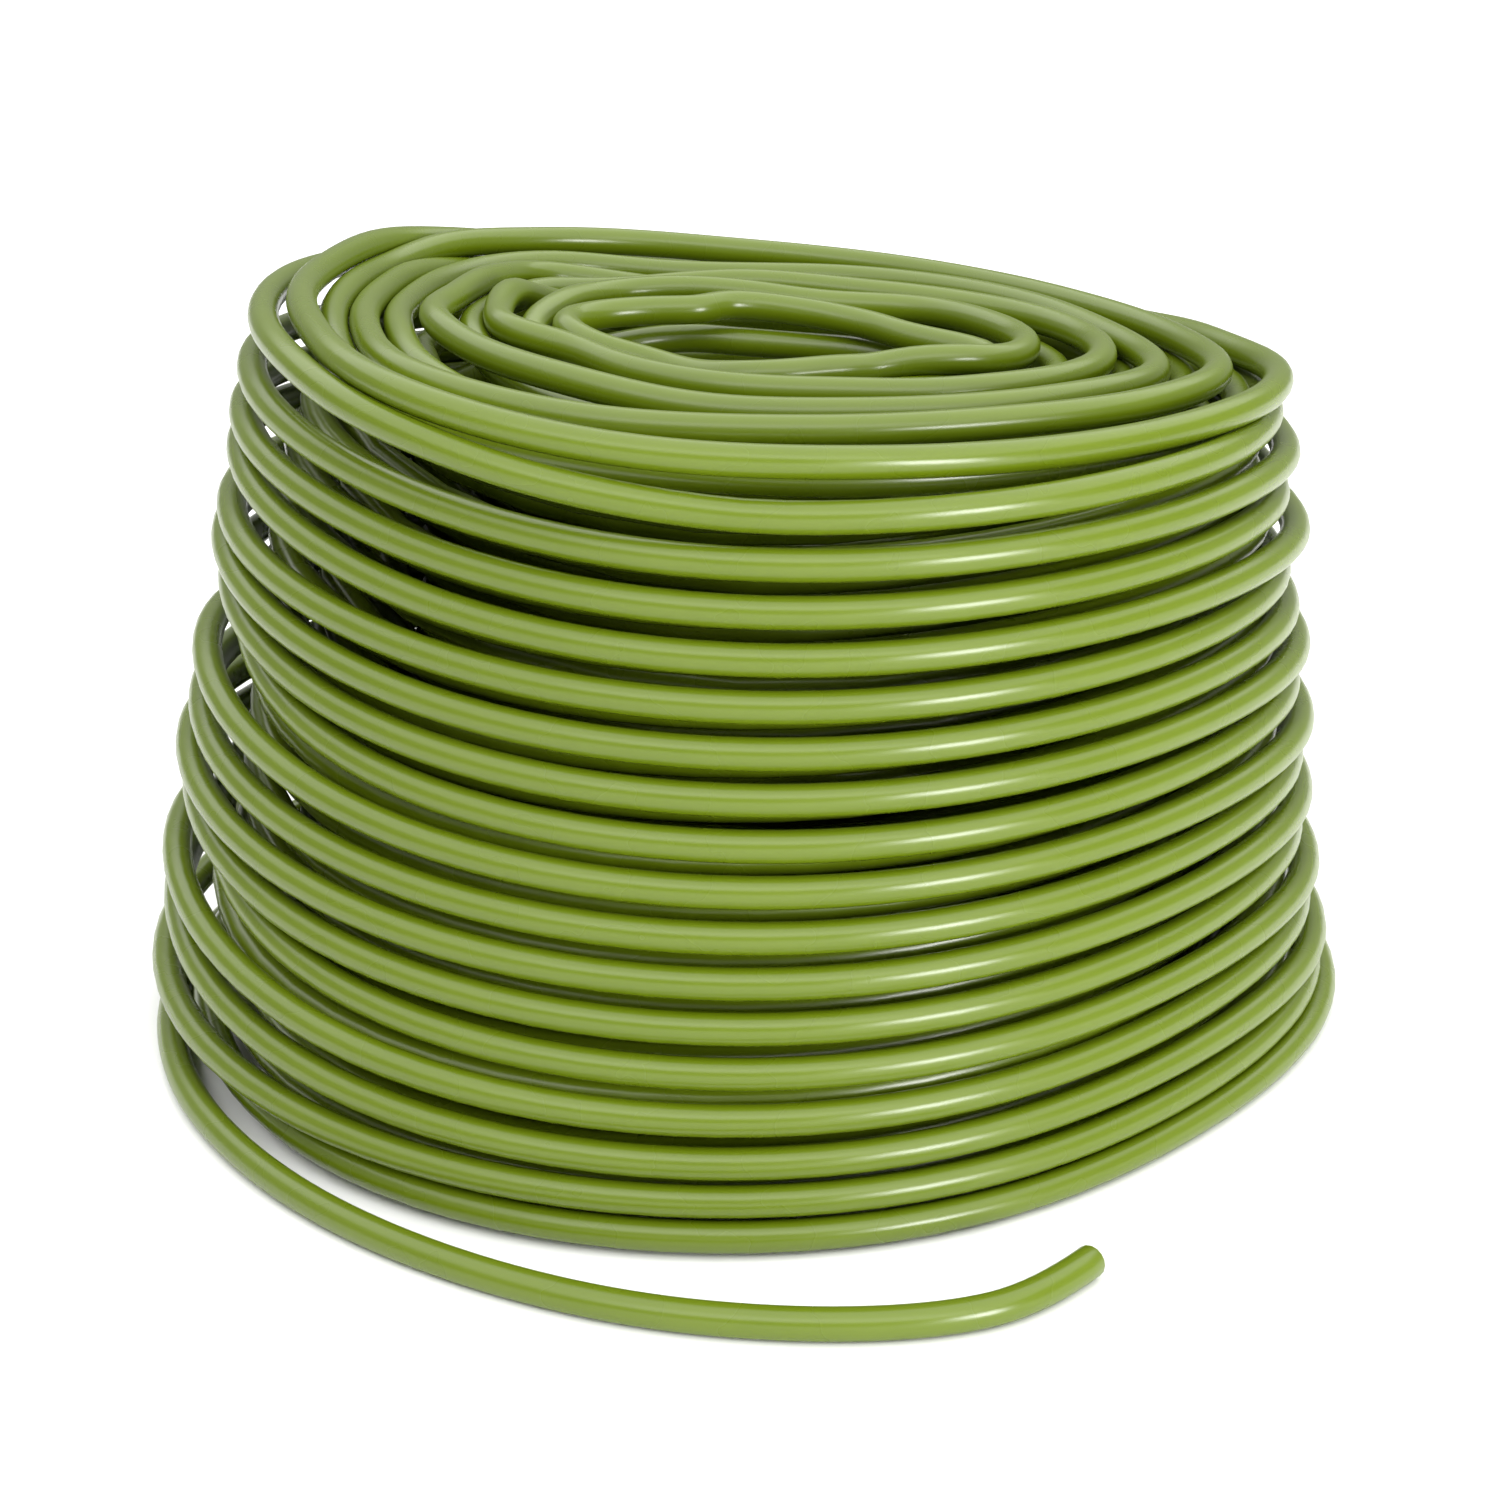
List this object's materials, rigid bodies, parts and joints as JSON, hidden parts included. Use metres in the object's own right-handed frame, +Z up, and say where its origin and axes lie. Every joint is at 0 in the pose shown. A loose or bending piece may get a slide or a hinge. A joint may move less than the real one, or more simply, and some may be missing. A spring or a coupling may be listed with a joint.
{
  "type": "soaker hose",
  "caption": "Round, slightly tapered coil of thin green soaker hose with an open oval eye and one free tail lying on the floor in front.",
  "frame": {"origin": "where the axis of the coil's eye meets the floor", "axes": "+Z up along the coil's axis; -Y towards the free tail, which crosses in front of the coil from its left (-X) side to its right front"},
  "size_m": [0.2635, 0.294, 0.1605],
  "materials": {
    "hose_wall": "smooth extruded soft plastic, olive green, soft sheen"
  },
  "bodies": {
    "root": {"hose_coil": "hose_wall", "hose_tail": "hose_wall"}
  },
  "joints": []
}
